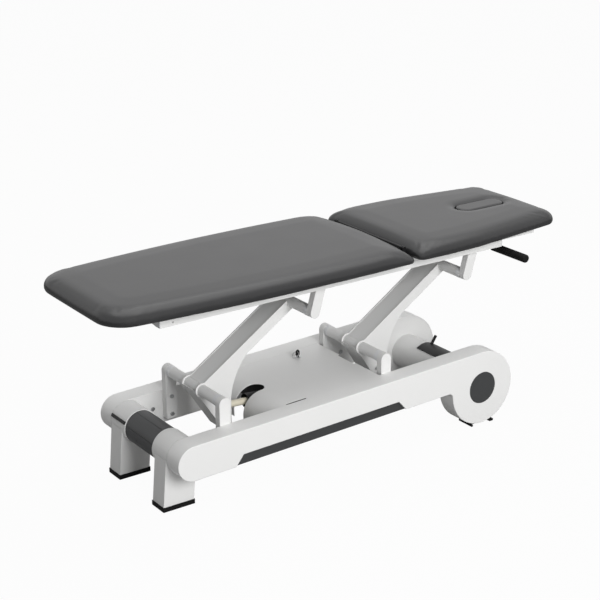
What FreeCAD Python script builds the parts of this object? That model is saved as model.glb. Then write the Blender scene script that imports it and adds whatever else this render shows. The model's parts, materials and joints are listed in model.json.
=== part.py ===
"""Electric height-adjustable treatment couch with a foot cushion and a tilting head cushion.

Millimetres.  +X runs from the foot end to the head end, +Z is up, and the origin lies on the
floor under the middle of the cushions.  Near pieces are on the -Y side, far pieces on the +Y side.
"""
import FreeCAD, Part
import math
import os

V = FreeCAD.Vector

# Cushions and their boards
CUSHION_LENGTH = 2000.0
CUSHION_BOTTOM = 740.0
CUSHION_RISE = 57.0
CUSHION_CROWN = 3.0
CROWN_INSET = 115.0
FOOT_END_HALF = 284.0
FOOT_WIDEST_HALF = 319.0
FOOT_WIDEST_X = -200.0
FOOT_HINGE_HALF = 310.0
FOOT_CORNER = 107.0
HEAD_HINGE_HALF = 300.0
HEAD_WIDEST_HALF = 302.5
HEAD_WIDEST_X = 430.0
HEAD_SHOULDER_HALF = 297.0
HEAD_SHOULDER_X = 560.0
HEAD_TAPER_HALF = 273.0
HEAD_TAPER_X = 750.0
HEAD_END_HALF = 248.0
HEAD_CORNER_LONG = 55.0
HEAD_CORNER_WIDE = 62.0
HINGE_CORNER = 30.0
BOARD_THICK = 12.0
BOARD_INSET = 45.0
BOARD_GAP = 0.5
NOSE_LONG = 222.0
NOSE_WIDE = 88.0
NOSE_FROM_END = 203.5
NOSE_GAP = 1.5
NOSE_LEDGE = 10.0
NOSE_EDGE = 5.0
NOSE_SUNK = 4.0

# Head hinge and its gas spring
HINGE_X = 250.0
HINGE_RISE = 32.0
HINGE_ROD_R = 5.0
HINGE_EYE_R = 7.0
HINGE_CUSHION_GAP = 8.0
EAR_THICK = 6.0
EAR_GAP = 3.0
FRAME_EAR_Y = 208.0
TILT_MAX = 65.0
SPRING_CRANK = 60.0
SPRING_ROD_R = 4.5
SPRING_ROD_LONG = 270.0
SPRING_BORE_R = 14.3
SPRING_WALL = 1.7
SPRING_REACH = 194.0
SPRING_EYE_R = 9.0
SPRING_EYE_WIDE = 12.0
SPRING_PIN_R = 4.0
SPRING_CHEEK = 5.0
SPRING_PLATE = 4.0

# Upper frame
RAIL_OUTER_Y = 221.0
RAIL_WIDE = 35.0
RAIL_TALL = 48.0
RAIL_WALL = 3.0
RAIL_STEP_BACK = 18.0
RAIL_FOOT_OVERHANG = 218.0
RAIL_PAST_ARM = 150.0
RAIL_JOINT_X = 403.0
RAIL_HOLE_R = 2.5
RAIL_HOLE_FROM_END = 48.0
PLUG_FLANGE = 3.0
PLUG_DEEP = 15.0
HEAD_BAR_TALL = 22.0
HEAD_BAR_GAP = 1.0
HEAD_BAR_WIDE = 30.0
HEAD_BAR_WALL = 2.5
HEAD_BAR_FROM_HINGE = 35.0
HEAD_BAR_OVERHANG = 112.0
CROSS_WIDE = 40.0

# Lift linkage
LOWER_PIVOT_X = -527.0
LOWER_PIVOT_Z = 346.0
PIVOT_SPACING = 711.0
ARM_RUN = 387.0
ARM_RISE = 254.0
SHAFT_R = 11.0
SHAFT_END_COVER = 8.0
RUNNING_GAP = 0.05
LOWER_TUBE_R = 21.0
UPPER_TUBE_R = 20.0
BUSH_LONG = 20.0
BUSH_PROUD = 0.8
BUSH_END_GAP = 1.0
ARM_HALF = 50.0
ARM_PLATE = 6.0
ARM_ABOVE = 17.0
ARM_BELOW = 24.0
ARM_RING_R = 27.0
ARM_WEB = 4.0
ARM_WEB_DROP = 2.0
CRANK_RIGHT = 120.0
CRANK_FOOT = 180.0
CRANK_TOE = 88.0
CRANK_CORNER = 30.0
GUSSET_LOW = 59.0
GUSSET_MIDDLE = (140.0, 18.0)
GUSSET_REACH = 213.0
POST_WIDE = 45.0
POST_THICK = 28.0
POST_BOTTOM = 158.0
BRACKET_WIDE = 40.0
BRACKET_THICK = 28.0
BRACKET_LEAN = 16.0

# Lift actuator
CRANK_PIN_RUN = 72.0
CRANK_PIN_DROP = 104.0
CRANK_PIN_R = 8.0
ACTUATOR_REAR_X = 80.0
ACTUATOR_REAR_Z = 212.0
ACTUATOR_BORE_R = 25.0
ACTUATOR_WALL = 3.0
ACTUATOR_TUBE_LONG = 327.0
ACTUATOR_ROD_R = 13.0
ACTUATOR_ROD_LONG = 380.0
ROD_EYE_R = 18.0
ROD_EYE_WIDE = 26.0
GEARBOX_LONG = 48.0
GEARBOX_HALF = 30.0
GEARBOX_FROM_PIN = 70.0
MOTOR_R = 28.0
MOTOR_LONG = 112.0
LUG_WIDE = 22.0
LUG_R = 13.0
CLEVIS_THICK = 8.0
CLEVIS_GAP = 1.0
ACTUATOR_BAR_WIDE = 38.0
ACTUATOR_BAR_TALL = 40.0
ACTUATOR_BAR_WALL = 4.0

# Base beams, which rise gently towards the drums at the head end
DRUM_X = 598.0
DRUM_Z = 155.0
DRUM_R = 148.4
BEAM_SLOPE = 1.8
BEAM_LONG = 1297.4
BEAM_TALL = 131.0
DRUM_FILLET = 20.0
BASE_HALF = 280.0
COVER_DEEP = 80.0
COVER_WALL = 4.0
COVER_EDGE = 2.5
PLATE_THICK = 8.0
PLATE_GAP = 0.3
BOSS_R = 8.0
BOSS_FROM_DRUM = (330.0, 760.0, 1189.0)
HUB_R = 64.0
HUB_GAP = 0.5
HUB_LIP = 6.0
HUB_THICK = 5.0
STRIP_FROM_DRUM = 377.0
STRIP_LONG = 757.0
STRIP_SLANT = 34.0
STRIP_TALL = 41.0
STRIP_RECESS = 10.0
STRIP_GAP = 0.4
STRIP_LIP = 8.0
STRIP_THICK = 6.0

# Foot end
LEG_LONG = 122.0
LEG_WIDE = 76.0
LEG_INNER_Y = 119.0
LEG_BACK = 20.0
LEG_RAKE = 5.0
LEG_WALL = 4.0
HOUSING_INNER_Y = 98.0
HOUSING_WALL = 5.0
HOUSING_SEAM = 2.0
FOOT_TUBE_R = 30.0
END_COVER_SINK = 3.0
END_COVER_WALL = 3.0
END_COVER_GAP = 1.2
END_COVER_SEAMS = (105.0, 163.0, 300.0)
FULL_TURN = 360.0
BULKHEAD_THICK = 6.0
SOCKET_LONG = 44.0
SOCKET_TALL = 9.0
SOCKET_DEEP = 1.6
SOCKET_DROP = 11.0
CABLE_COVER_RISE = 4.0
CABLE_COVER_ANGLES = (151.0, 161.0)
CABLE_COVER_GAP = 3.0

# Rubber feet
CAP_TALL = 17.0
CAP_SEAT = 8.0
CAP_RIM = 3.0
CAP_EDGE = 2.0
HEAD_LEG_LONG = 105.0
HEAD_LEG_WIDE = 60.0
HEAD_LEG_TALL = 140.0
HEAD_LEG_SHIFT = 6.5
FOOT_HOLE_GAP = 2.0
HEAD_PADS = (7.0, 18.0)
HEAD_PAD_TALL = 6.0

# Head-end cross tube and foot switch
HEAD_TUBE_R = 70.0
HEAD_TUBE_WALL = 4.0
SWITCH_GAP = 0.5
SWITCH_WALL = 3.5
SWITCH_HALF = 75.0
SWITCH_ANGLES = (-10.0, 125.0)
SWITCH_ROD_Y = 50.0
SWITCH_ROD_R = 6.0
SWITCH_ROD_ANGLE = 80.0
SWITCH_ROD_LEAN = 34.0
SWITCH_ROD_LONG = 41.0

# Tray between the beams
TRAY_FROM_POST = 160.5
TRAY_POST_GAP = 4.5
TRAY_BEND = 80.0
TRAY_FLANGE = 25.0
TRAY_THICK = 2.0
TRAY_BELOW_BEAM = 0.5
TRAY_GAP = 1.0
TRAY_SLOT_GAP = 4.0
TRAY_SLOT_LONG = 112.0
TRAY_HEAD_NOTCH = 10.0
EDGE_SLOT_FROM_BEND = 2.0
EDGE_SLOT_LONG = 88.0
EDGE_SLOT_DEEP = 9.0
LEDGE_WIDE = 16.0
LEDGE_THICK = 3.0
LEDGE_LONG = 315.0
LEDGE_FROM_EDGE = 8.0
KEY_X = 18.0
KEY_Y = 135.0
KEY_BARREL_R = 9.0
KEY_FLANGE = 1.5
KEY_BARREL_RISE = 3.0
KEY_BARREL_DEEP = 35.0
KEY_PLUG_R = 6.0
KEY_PLUG_DEEP = 4.0
KEY_BOW_R = 8.5
KEY_BOW_LONG = 9.0
KEY_BOW_THICK = 3.4
KEY_EYE_R = 2.5
KEY_STEM = 10.0
BOX_LONG = 200.0
BOX_WIDE = 96.0
BOX_TALL = 70.0
BOX_FROM_BEND = 14.0
BOX_LEDGE_GAP = 8.0

# Release handle
HANDLE_PAST_ARM = 176.0
HANDLE_DROP = 73.0
HANDLE_HALF = 335.0
HANDLE_R = 10.0
GRIP_R = 16.0
GRIP_FROM_ARM = 20.0
HANDLE_REACH = 82.0
HANDLE_PIVOT_RISE = 5.0
HANDLE_ARM_INSET = 60.0
HANDLE_ARM_THICK = 6.0
HANDLE_ARM_R = 13.0
HANDLE_PIN_R = 5.0
HANDLE_LUG_GAP = 0.5

# Screws
SCREW_R = 8.0
SCREW_TALL = 4.5
SCREW_HEX_R = 4.6
SCREW_HEX_DEEP = 3.0
POST_SCREWS_UP = (17.0, 88.0)

# Places that follow from the sizes above
SIDE_INNER = BASE_HALF - COVER_DEEP
COVER_INSIDE = BASE_HALF - COVER_WALL
STRIP_FACE = BASE_HALF - STRIP_RECESS
STRIP_BACK = STRIP_FACE - STRIP_THICK
SHAFT_HALF = SIDE_INNER - SHAFT_END_COVER
SLOPE = math.radians(BEAM_SLOPE)
BEAM_TOP = DRUM_Z + DRUM_R
BEAM_BOTTOM = BEAM_TOP - BEAM_TALL
BEAM_MIDDLE = BEAM_TOP - BEAM_TALL / 2
FOOT_R = BEAM_TALL / 2
FOOT_X = DRUM_X - BEAM_LONG * math.cos(SLOPE) - (BEAM_MIDDLE - DRUM_Z) * math.sin(SLOPE)
FOOT_Z = DRUM_Z - BEAM_LONG * math.sin(SLOPE) + (BEAM_MIDDLE - DRUM_Z) * math.cos(SLOPE)
END_COVER_R = FOOT_R - END_COVER_SINK
LEG_X = FOOT_X - LEG_BACK
HEAD_LEG_X = DRUM_X + HEAD_LEG_SHIFT
HEAD_LEG_Y = SIDE_INNER + PLATE_THICK
HEAD_FOOT_Y = HEAD_LEG_Y + HEAD_LEG_WIDE + CAP_RIM
TRAY_TOP = BEAM_TOP - TRAY_BELOW_BEAM
TRAY_UNDER = TRAY_TOP - TRAY_THICK
LOWER_XS = (LOWER_PIVOT_X, LOWER_PIVOT_X + PIVOT_SPACING)
UPPER_XS = (LOWER_XS[0] + ARM_RUN, LOWER_XS[1] + ARM_RUN)
UPPER_PIVOT_Z = LOWER_PIVOT_Z + ARM_RISE
TRAY_FOOT_X = LOWER_XS[0] + POST_WIDE / 2 + TRAY_FROM_POST
TRAY_HEAD_X = LOWER_XS[1] - POST_WIDE / 2 - TRAY_POST_GAP
TRAY_SLOT_HALF = ACTUATOR_BORE_R + ACTUATOR_WALL + TRAY_SLOT_GAP
TRAY_NOTCH_HALF = ARM_HALF + TRAY_SLOT_GAP
ARM_LONG = math.hypot(ARM_RUN, ARM_RISE)
ARM_ANGLE = math.atan2(ARM_RISE, ARM_RUN)
POST_INNER = SIDE_INNER - POST_THICK
BRACKET_INNER = SIDE_INNER - BRACKET_THICK
CRANK_PIN_X = LOWER_PIVOT_X + CRANK_PIN_RUN
CRANK_PIN_Z = LOWER_PIVOT_Z - CRANK_PIN_DROP
ACTUATOR_LONG = math.hypot(ACTUATOR_REAR_X - CRANK_PIN_X, CRANK_PIN_Z - ACTUATOR_REAR_Z)
ACTUATOR_TILT = math.degrees(math.atan2(CRANK_PIN_Z - ACTUATOR_REAR_Z, ACTUATOR_REAR_X - CRANK_PIN_X))
CUSHION_TOP = CUSHION_BOTTOM + CUSHION_RISE + CUSHION_CROWN
FOOT_END_X = -CUSHION_LENGTH / 2
HEAD_END_X = CUSHION_LENGTH / 2
FOOT_HINGE_X = HINGE_X - HINGE_CUSHION_GAP
HEAD_HINGE_X = HINGE_X + HINGE_CUSHION_GAP
BOARD_TOP = CUSHION_BOTTOM + BOARD_THICK
NOSE_X = HEAD_END_X - NOSE_FROM_END
HINGE_Z = CUSHION_BOTTOM + HINGE_RISE
HEAD_EAR_Y = FRAME_EAR_Y - EAR_GAP - EAR_THICK
RAIL_INNER_Y = RAIL_OUTER_Y - RAIL_WIDE
RAIL_BOTTOM = CUSHION_BOTTOM - RAIL_TALL
HEAD_BAR_BOTTOM = CUSHION_BOTTOM - HEAD_BAR_TALL
RAIL_LOW_TOP = HEAD_BAR_BOTTOM - HEAD_BAR_GAP
RAIL_FOOT_X = FOOT_END_X + RAIL_FOOT_OVERHANG
RAIL_HEAD_X = UPPER_XS[1] + RAIL_PAST_ARM
RAIL_STEP_X = HINGE_X - RAIL_STEP_BACK
HEAD_BAR_X = HINGE_X + HEAD_BAR_FROM_HINGE
HEAD_BAR_END_X = HEAD_END_X - HEAD_BAR_OVERHANG
BRACKET_SHIFT = (RAIL_BOTTOM - UPPER_PIVOT_Z) * math.tan(math.radians(BRACKET_LEAN))
HANDLE_X = UPPER_XS[1] + HANDLE_PAST_ARM
HANDLE_Z = CUSHION_BOTTOM - HANDLE_DROP
HANDLE_PIVOT_X = HANDLE_X - HANDLE_REACH
HANDLE_PIVOT_Z = HANDLE_Z + HANDLE_PIVOT_RISE
HANDLE_ARM_Y = RAIL_INNER_Y - HANDLE_ARM_INSET
SPRING_ANGLE = math.radians(-90.0 - TILT_MAX / 2)
SPRING_PIN_X = HINGE_X + SPRING_CRANK * math.cos(SPRING_ANGLE)
SPRING_PIN_Z = HINGE_Z + SPRING_CRANK * math.sin(SPRING_ANGLE)
SPRING_REAR_X = UPPER_XS[0] + BRACKET_SHIFT + CROSS_WIDE / 2


def flat_wire(place, start, steps):
    """Closed wire of lines and arcs; a step is an end point, or an arc's middle and end points."""
    edges = []
    here = start
    for step in steps:
        if isinstance(step[0], tuple):
            middle, end = step
            edges.append(Part.Arc(place(*here), place(*middle), place(*end)).toShape())
        else:
            end = step
            edges.append(Part.LineSegment(place(*here), place(*end)).toShape())
        here = end
    return Part.Wire(edges)


def side_prism(start, steps, y0, y1):
    """Outline in X and Z, carried along Y."""
    wire = flat_wire(lambda x, z: V(x, y0, z), start, steps)
    return Part.Face(wire).extrude(V(0, y1 - y0, 0))


def plan_prism(start, steps, z0, z1):
    """Outline in X and Y, carried along Z."""
    wire = flat_wire(lambda x, y: V(x, y, z0), start, steps)
    return Part.Face(wire).extrude(V(0, 0, z1 - z0))


def box(x0, x1, y0, y1, z0, z1):
    return Part.makeBox(x1 - x0, y1 - y0, z1 - z0, V(x0, y0, z0))


def rod_x(y, z, radius, x0, x1):
    return Part.makeCylinder(radius, x1 - x0, V(x0, y, z), V(1, 0, 0))


def rod_y(x, z, radius, y0, y1):
    return Part.makeCylinder(radius, y1 - y0, V(x, y0, z), V(0, 1, 0))


def rod_z(x, y, radius, z0, z1):
    return Part.makeCylinder(radius, z1 - z0, V(x, y, z0))


def tube_y(x, z, outer, inner, y0, y1):
    return rod_y(x, z, outer, y0, y1).cut(rod_y(x, z, inner, y0, y1))


def tube_x_square(x0, x1, y0, y1, z0, z1, wall):
    """Square tube along X with open ends."""
    return box(x0, x1, y0, y1, z0, z1).cut(box(x0, x1, y0 + wall, y1 - wall, z0 + wall, z1 - wall))


def tube_y_square(x0, x1, half, z0, z1, wall):
    """Square tube along Y with open ends, centred on the middle plane."""
    outer = box(x0, x1, -half, half, z0, z1)
    return outer.cut(box(x0 + wall, x1 - wall, -half, half, z0 + wall, z1 - wall))


def mirrored(shape):
    return shape.mirror(V(0, 0, 0), V(0, 1, 0))


def group(*shapes):
    return Part.makeCompound(list(shapes))


def both_sides(*shapes):
    """Far-side pieces with their near-side mirror images."""
    return group(*shapes, *(mirrored(shape) for shape in shapes))


def welded(first, *others):
    return first.fuse(list(others)).removeSplitter()


def turned(shape, x, z, degrees):
    """Copy turned about an axis along Y; positive lifts the +X side."""
    copy = shape.copy()
    copy.rotate(V(x, 0, z), V(0, -1, 0), degrees)
    return copy


def sloped(shape):
    """Brings a piece that is drawn level into line with the beams."""
    return turned(shape, DRUM_X, DRUM_Z, BEAM_SLOPE)


def around(x, z, radius, degrees):
    angle = math.radians(degrees)
    return (x + radius * math.cos(angle), z + radius * math.sin(angle))


def sloped_point(x, z):
    """Where a point that is drawn level lies on the sloping beam."""
    run, lift = x - DRUM_X, z - DRUM_Z
    return (DRUM_X + run * math.cos(SLOPE) - lift * math.sin(SLOPE),
            DRUM_Z + run * math.sin(SLOPE) + lift * math.cos(SLOPE))


def sector(x, z, inner, outer, start, end, y0, y1):
    """Part of a ring about an axis along Y; angles go from +X towards +Z."""
    middle = (start + end) / 2
    steps = [(around(x, z, outer, middle), around(x, z, outer, end)),
             around(x, z, inner, end),
             (around(x, z, inner, middle), around(x, z, inner, start)),
             around(x, z, outer, start)]
    return side_prism(around(x, z, outer, start), steps, y0, y1)


def strap(xa, za, xb, zb, radius, y0, y1):
    """Flat bar with round ends between two points in X and Z."""
    angle = math.degrees(math.atan2(zb - za, xb - xa))
    steps = [around(xb, zb, radius, angle - 90),
             (around(xb, zb, radius, angle), around(xb, zb, radius, angle + 90)),
             around(xa, za, radius, angle + 90),
             (around(xa, za, radius, angle + 180), around(xa, za, radius, angle - 90))]
    return side_prism(around(xa, za, radius, angle - 90), steps, y0, y1)


def slot_prism(x_middle, length, width, z0, z1):
    """Upright block with round ends, long in X."""
    radius = width / 2
    left, right = x_middle - length / 2 + radius, x_middle + length / 2 - radius
    steps = [(right, -radius), ((right + radius, 0), (right, radius)),
             (left, radius), ((left - radius, 0), (left, -radius))]
    return plan_prism((left, -radius), steps, z0, z1)


def rim_edges(shape, axis, value):
    """Edges that lie in one plane square to the named axis."""
    return [edge for edge in shape.Edges
            if all(abs(getattr(vertex, axis) - value) < 0.01 for vertex in edge.Vertexes)]


def beam_solid(inset, y0, y1):
    """Side view of a beam and its drum, drawn level and shrunk by inset."""
    drum, foot, fillet = DRUM_R - inset, FOOT_R - inset, DRUM_FILLET + inset
    top, bottom = BEAM_TOP - inset, BEAM_BOTTOM + inset
    foot_x = DRUM_X - BEAM_LONG
    fillet_z = BEAM_BOTTOM - DRUM_FILLET
    fillet_x = DRUM_X - math.sqrt((DRUM_R + DRUM_FILLET) ** 2 - (DRUM_Z - fillet_z) ** 2)
    toward = math.degrees(math.atan2(fillet_z - DRUM_Z, fillet_x - DRUM_X)) % FULL_TURN
    steps = [((foot_x - foot, BEAM_MIDDLE), (foot_x, top)),
             (DRUM_X, top),
             (around(DRUM_X, DRUM_Z, drum, (toward - 270) / 2), around(DRUM_X, DRUM_Z, drum, toward)),
             (around(fillet_x, fillet_z, fillet, (toward - 90) / 2), (fillet_x, bottom)),
             (foot_x, bottom)]
    return side_prism((foot_x, bottom), steps, y0, y1)


def strip_prism(grow, y0, y1):
    """Long slanted-end strip on the lower edge of a beam; grow widens its top and ends."""
    lean = STRIP_SLANT * (STRIP_TALL + grow) / STRIP_TALL
    top = BEAM_BOTTOM + STRIP_TALL + grow
    head = DRUM_X - STRIP_FROM_DRUM + grow
    foot = head - STRIP_LONG - 2 * grow
    steps = [(head, BEAM_BOTTOM), (head - lean, top), (foot + lean, top), (foot, BEAM_BOTTOM)]
    return side_prism((foot, BEAM_BOTTOM), steps, y0, y1)


def foot_block_room():
    """Room for the head-end leg and its rubber foot in the drum, behind the cover's face."""
    half = HEAD_LEG_LONG / 2 + CAP_RIM + FOOT_HOLE_GAP
    drop = math.sqrt((DRUM_R - COVER_WALL) ** 2 - (half + HEAD_LEG_SHIFT) ** 2)
    return box(HEAD_LEG_X - half, HEAD_LEG_X + half, SIDE_INNER, HEAD_FOOT_Y + FOOT_HOLE_GAP,
               0, DRUM_Z - drop + FOOT_HOLE_GAP)


def side_cover():
    """Far-side moulded cover: a shell open towards the middle, with screw bosses and a strip pocket."""
    body = beam_solid(0, SIDE_INNER, BASE_HALF)
    body = body.makeFillet(COVER_EDGE, rim_edges(body, "Y", BASE_HALF))
    body = body.cut(beam_solid(COVER_WALL, SIDE_INNER, COVER_INSIDE))
    bosses = [rod_y(DRUM_X - run, BEAM_MIDDLE, BOSS_R, SIDE_INNER + PLATE_THICK, COVER_INSIDE)
              for run in BOSS_FROM_DRUM]
    body = body.fuse(bosses + [strip_prism(COVER_WALL, STRIP_FACE, COVER_INSIDE)])
    body = body.cut(strip_prism(0, STRIP_BACK - STRIP_GAP, BASE_HALF))
    body = body.cut(rod_y(DRUM_X, DRUM_Z, HUB_R + HUB_GAP, COVER_INSIDE, BASE_HALF))
    return sloped(body).cut(foot_block_room())


def side_plate():
    """Far-side steel plate that carries the posts, with the tray's ledge and the head-end leg."""
    plate = sloped(beam_solid(COVER_WALL + PLATE_GAP, SIDE_INNER, SIDE_INNER + PLATE_THICK))
    plate = plate.cut(foot_block_room())
    ledge_head = TRAY_HEAD_X - LEDGE_FROM_EDGE
    ledge = sloped(box(ledge_head - LEDGE_LONG, ledge_head, SIDE_INNER - LEDGE_WIDE, SIDE_INNER,
                       TRAY_UNDER - LEDGE_THICK, TRAY_UNDER))
    half, top = HEAD_LEG_LONG / 2, CAP_SEAT + HEAD_LEG_TALL
    inner = half - LEG_WALL
    leg = box(HEAD_LEG_X - half, HEAD_LEG_X + half, HEAD_LEG_Y, HEAD_LEG_Y + HEAD_LEG_WIDE, CAP_SEAT, top)
    leg = leg.cut(box(HEAD_LEG_X - inner, HEAD_LEG_X + inner, HEAD_LEG_Y + LEG_WALL,
                      HEAD_LEG_Y + HEAD_LEG_WIDE - LEG_WALL, CAP_SEAT + LEG_WALL, top))
    return welded(plate, ledge, leg)


def trim_strip():
    """Dark strip at the back of the cover's pocket, held by a lip behind the pocket's wall."""
    face = strip_prism(-STRIP_GAP, STRIP_BACK, STRIP_FACE)
    lip = strip_prism(STRIP_LIP, STRIP_BACK, STRIP_FACE)
    lip = lip.common(beam_solid(COVER_WALL + STRIP_GAP, SIDE_INNER, BASE_HALF))
    return sloped(welded(face, lip))


def hub_cap():
    """Dark disc set in the drum, held by a lip behind the cover's wall."""
    disc = rod_y(DRUM_X, DRUM_Z, HUB_R, COVER_INSIDE - HUB_THICK, BASE_HALF)
    disc = disc.makeFillet(COVER_WALL / 4, rim_edges(disc, "Y", BASE_HALF))
    return disc.fuse(rod_y(DRUM_X, DRUM_Z, HUB_R + HUB_LIP, COVER_INSIDE - HUB_THICK, COVER_INSIDE))


def rubber_foot(x, leg_long, leg_y0, leg_y1, y0, y1):
    """Rubber block with a seat for a leg."""
    half = leg_long / 2
    block = box(x - half - CAP_RIM, x + half + CAP_RIM, y0, y1, 0, CAP_TALL)
    upright = [edge for edge in block.Edges
               if abs(edge.Vertexes[0].Z - edge.Vertexes[-1].Z) > CAP_TALL / 2]
    block = block.makeFillet(CAP_EDGE, upright)
    return block.cut(box(x - half, x + half, leg_y0, leg_y1, CAP_SEAT, CAP_TALL))


def head_rubber_foot():
    """Far-side foot under the drum: it stands on two pads that reach out under the drum's face."""
    half = HEAD_LEG_LONG / 2 + CAP_RIM
    x0, x1 = HEAD_LEG_X - half, HEAD_LEG_X + half
    left, right = x0 + HEAD_PADS[0], x1 - HEAD_PADS[1]
    block = rubber_foot(HEAD_LEG_X, HEAD_LEG_LONG, HEAD_LEG_Y, HEAD_LEG_Y + HEAD_LEG_WIDE,
                        SIDE_INNER + FOOT_HOLE_GAP, HEAD_FOOT_Y)
    pads = [box(start, end, HEAD_FOOT_Y - CAP_RIM, BASE_HALF, 0, CAP_SEAT)
            for start, end in ((x0, left), (right, x1))]
    return welded(block, *pads).cut(box(left, right, SIDE_INNER, BASE_HALF, 0, HEAD_PAD_TALL))


def rubber_feet():
    leg_y1 = LEG_INNER_Y + LEG_WIDE
    foot = rubber_foot(LEG_X, LEG_LONG, LEG_INNER_Y, leg_y1, LEG_INNER_Y - CAP_RIM, leg_y1 + CAP_RIM)
    return both_sides(foot, head_rubber_foot())


def foot_leg():
    """Raked far-side leg, hollow and coped to the round housing above it."""
    lean = (FOOT_Z - CAP_TALL) * math.tan(math.radians(LEG_RAKE))
    y0, y1 = LEG_INNER_Y, LEG_INNER_Y + LEG_WIDE

    def raked(inset):
        half, low = LEG_LONG / 2 - inset, CAP_SEAT + inset
        steps = [(LEG_X + half, low), (LEG_X + half, CAP_TALL),
                 (LEG_X + half + lean, FOOT_Z), (LEG_X - half + lean, FOOT_Z),
                 (LEG_X - half, CAP_TALL), (LEG_X - half, low)]
        return side_prism((LEG_X - half, low), steps, y0 + inset, y1 - inset)

    return raked(0).cut(raked(LEG_WALL)).cut(rod_y(FOOT_X, FOOT_Z, FOOT_R, y0, y1))


def foot_housing():
    """Round far-side housing between the end cover and the beam."""
    shell = tube_y(FOOT_X, FOOT_Z, FOOT_R, FOOT_R - HOUSING_WALL, HOUSING_INNER_Y,
                   SIDE_INNER - HOUSING_SEAM)
    end = tube_y(FOOT_X, FOOT_Z, FOOT_R, FOOT_TUBE_R, HOUSING_INNER_Y, HOUSING_INNER_Y + HOUSING_WALL)
    return welded(shell, end)


def foot_cross_tube():
    """Tube between the beams with the two round flanges that hold the end cover."""
    tube = tube_y(FOOT_X, FOOT_Z, FOOT_TUBE_R, FOOT_TUBE_R - HOUSING_WALL, -SIDE_INNER, SIDE_INNER)
    edge = HOUSING_INNER_Y - END_COVER_GAP
    flange = tube_y(FOOT_X, FOOT_Z, END_COVER_R - END_COVER_WALL, FOOT_TUBE_R, edge - BULKHEAD_THICK, edge)
    return welded(tube, flange, mirrored(flange))


def end_cover(index):
    """One of three dark shells round the foot-end tube; the lower one has a socket recess."""
    half_gap = math.degrees(END_COVER_GAP / 2 / END_COVER_R)
    seams = END_COVER_SEAMS + (END_COVER_SEAMS[0] + FULL_TURN,)
    half = HOUSING_INNER_Y - END_COVER_GAP
    shell = sector(FOOT_X, FOOT_Z, END_COVER_R - END_COVER_WALL, END_COVER_R,
                   seams[index] + half_gap, seams[index + 1] - half_gap, -half, half)
    if index == 1:
        face_x = FOOT_X - math.sqrt(END_COVER_R ** 2 - SOCKET_DROP ** 2)
        middle = FOOT_Z - SOCKET_DROP
        shell = shell.cut(box(face_x - SOCKET_TALL, face_x + SOCKET_DEEP, -SOCKET_LONG / 2, SOCKET_LONG / 2,
                              middle - SOCKET_TALL / 2, middle + SOCKET_TALL / 2))
    return shell


def cable_cover():
    """Dark strip over the cable outlet on the far housing."""
    return sector(FOOT_X, FOOT_Z, FOOT_R, FOOT_R + CABLE_COVER_RISE, *CABLE_COVER_ANGLES,
                  HOUSING_INNER_Y + CABLE_COVER_GAP, SIDE_INNER - CABLE_COVER_GAP)


def post(pivot_x):
    """Far-side upright with a round top and a blind bore for the lower shaft."""
    half = POST_WIDE / 2
    steps = [(pivot_x + half, POST_BOTTOM), (pivot_x + half, LOWER_PIVOT_Z),
             ((pivot_x, LOWER_PIVOT_Z + half), (pivot_x - half, LOWER_PIVOT_Z)),
             (pivot_x - half, POST_BOTTOM)]
    upright = side_prism((pivot_x - half, POST_BOTTOM), steps, POST_INNER, SIDE_INNER)
    return upright.cut(rod_y(pivot_x, LOWER_PIVOT_Z, SHAFT_R, POST_INNER, SHAFT_HALF))


def socket_screw(x, z, face_y):
    """Socket head on a far-side face that looks towards the middle."""
    outer = face_y - SCREW_TALL
    corners = [around(x, z, SCREW_HEX_R, 60 * turn) for turn in range(7)]
    recess = side_prism(corners[0], corners[1:], outer, outer + SCREW_HEX_DEEP)
    return rod_y(x, z, SCREW_R, outer, face_y).cut(recess)


def socket_screws():
    heads = [socket_screw(x, POST_BOTTOM + up, POST_INNER) for x in LOWER_XS for up in POST_SCREWS_UP]
    for run in BOSS_FROM_DRUM:
        heads.append(socket_screw(*sloped_point(DRUM_X - run, BEAM_MIDDLE), SIDE_INNER))
    return both_sides(*heads)


def tray():
    """Sheet tray: rolled down at the foot end, slotted for the actuator, notched at two edges."""
    bend_x, bend_z = TRAY_FOOT_X + TRAY_BEND, TRAY_TOP - TRAY_BEND
    inner = TRAY_BEND - TRAY_THICK
    foot_z = bend_z - TRAY_FLANGE
    steps = [(TRAY_FOOT_X, bend_z),
             (around(bend_x, bend_z, TRAY_BEND, 135), (bend_x, TRAY_TOP)),
             (TRAY_HEAD_X, TRAY_TOP), (TRAY_HEAD_X, TRAY_UNDER), (bend_x, TRAY_UNDER),
             (around(bend_x, bend_z, inner, 135), (TRAY_FOOT_X + TRAY_THICK, bend_z)),
             (TRAY_FOOT_X + TRAY_THICK, foot_z), (TRAY_FOOT_X, foot_z)]
    half = SIDE_INNER - TRAY_GAP
    sheet = side_prism((TRAY_FOOT_X, foot_z), steps, -half, half)
    sheet = sheet.cut(slot_prism(TRAY_FOOT_X, 2 * TRAY_SLOT_LONG, 2 * TRAY_SLOT_HALF, foot_z, TRAY_TOP))
    sheet = sheet.cut(box(TRAY_HEAD_X - TRAY_HEAD_NOTCH, TRAY_HEAD_X, -TRAY_NOTCH_HALF, TRAY_NOTCH_HALF,
                          TRAY_UNDER, TRAY_TOP))
    notch_x = bend_x + EDGE_SLOT_FROM_BEND
    sheet = sheet.cut(box(notch_x, notch_x + EDGE_SLOT_LONG, -half, EDGE_SLOT_DEEP - half,
                          TRAY_UNDER, TRAY_TOP))
    return sloped(sheet.cut(rod_z(KEY_X, KEY_Y, KEY_BARREL_R, TRAY_UNDER, TRAY_TOP)))


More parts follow.
